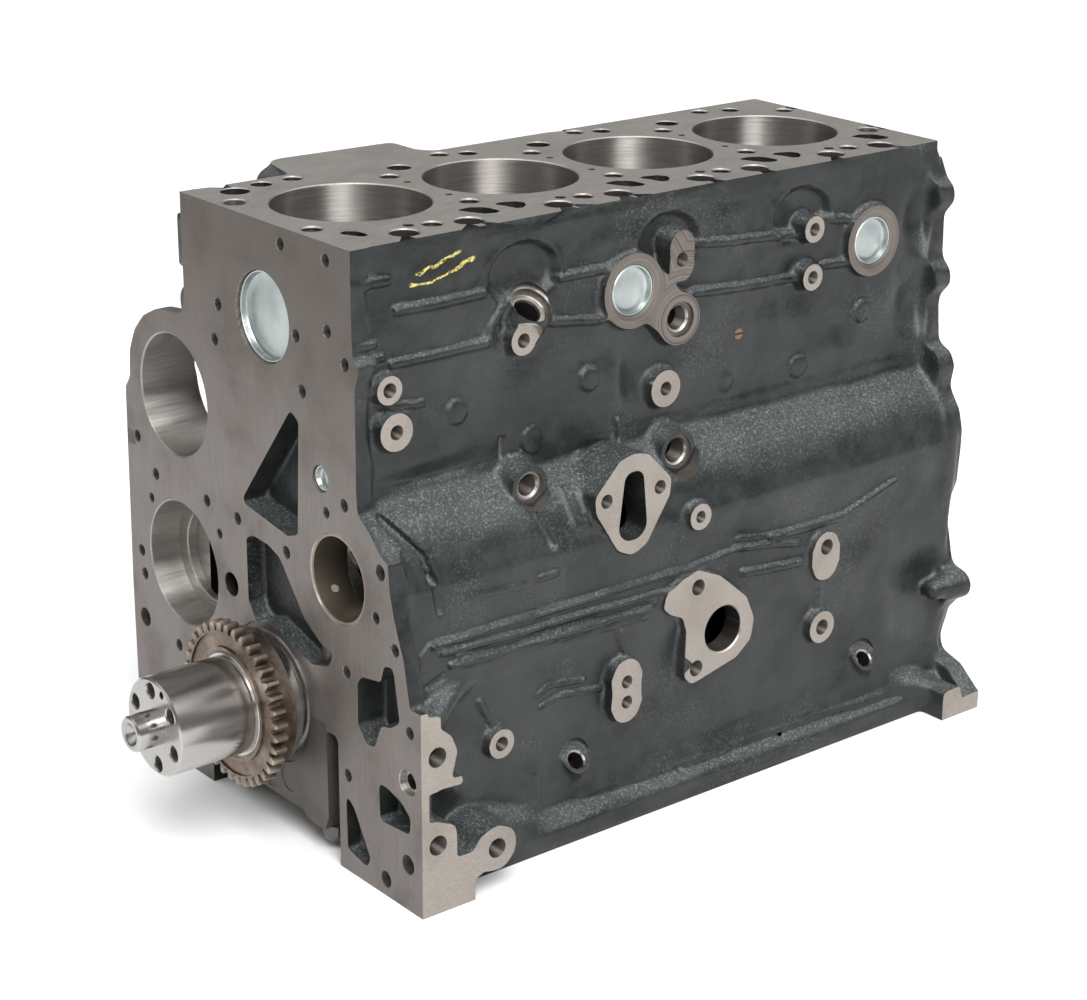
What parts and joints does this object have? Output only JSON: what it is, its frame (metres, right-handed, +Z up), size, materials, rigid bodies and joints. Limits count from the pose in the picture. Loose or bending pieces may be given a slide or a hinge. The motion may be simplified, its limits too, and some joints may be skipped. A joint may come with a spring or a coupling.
{
  "type": "engine block",
  "caption": "In-line diesel engine block with its crankshaft, crank gear, main bearing caps, cam bushes and core plugs; the crankshaft turns in its bearings.",
  "frame": {"origin": "middle of the assembly's outer box, on the plane of the sump face", "axes": "+X from the crank nose to the flywheel end along the crankshaft, +Z up along the cylinders, camshaft side at -Y"},
  "size_m": [0.672, 0.3584, 0.433],
  "materials": {
    "casting": "semi-gloss dark paint on the cast walls, bare machined faces",
    "caps": "cast and machined",
    "shells": "satin",
    "bolts": "dark oiled steel",
    "thrust": "satin",
    "bushes": "satin",
    "core_plugs": "zinc plated pressing",
    "end_plugs": "satin",
    "screw": "browned",
    "dowels": "ground",
    "crank": "turned and ground, forged webs",
    "gear": "oiled dark steel"
  },
  "bodies": {
    "block": {"crankcase": "casting", "main_bearing_cap_1": "caps", "main_bearing_cap_2": "caps", "main_bearing_cap_3": "caps", "main_bearing_cap_4": "caps", "main_bearing_cap_5": "caps", "main_shell_upper_1": "shells", "main_shell_upper_2": "shells", "main_shell_upper_3": "shells", "main_shell_upper_4": "shells", "main_shell_upper_5": "shells", "main_shell_lower_1": "shells", "main_shell_lower_2": "shells", "main_shell_lower_3": "shells", "main_shell_lower_4": "shells", "main_shell_lower_5": "shells", "main_cap_bolts": "bolts", "thrust_washer_front": "thrust", "thrust_washer_rear": "thrust", "cam_bush_1": "bushes", "cam_bush_2": "bushes", "cam_bush_3": "bushes", "cam_bush_4": "bushes", "cam_bush_5": "bushes", "front_core_plug": "core_plugs", "front_gallery_plug": "end_plugs", "side_core_plug_1": "core_plugs", "side_core_plug_2": "core_plugs", "cam_rear_plug": "end_plugs", "side_slotted_plug": "screw", "deck_ring_dowels": "dowels"},
    "crank": {"crankshaft": "crank", "crank_gear": "gear", "crank_rear_dowel": "dowels"}
  },
  "joints": [
    {"name": "crank_spin", "type": "hinge", "parent": "block", "child": "crank", "pos_m": [0, -0.00485, 0.1], "axis": [1, 0, 0], "continuous": true}
  ]
}
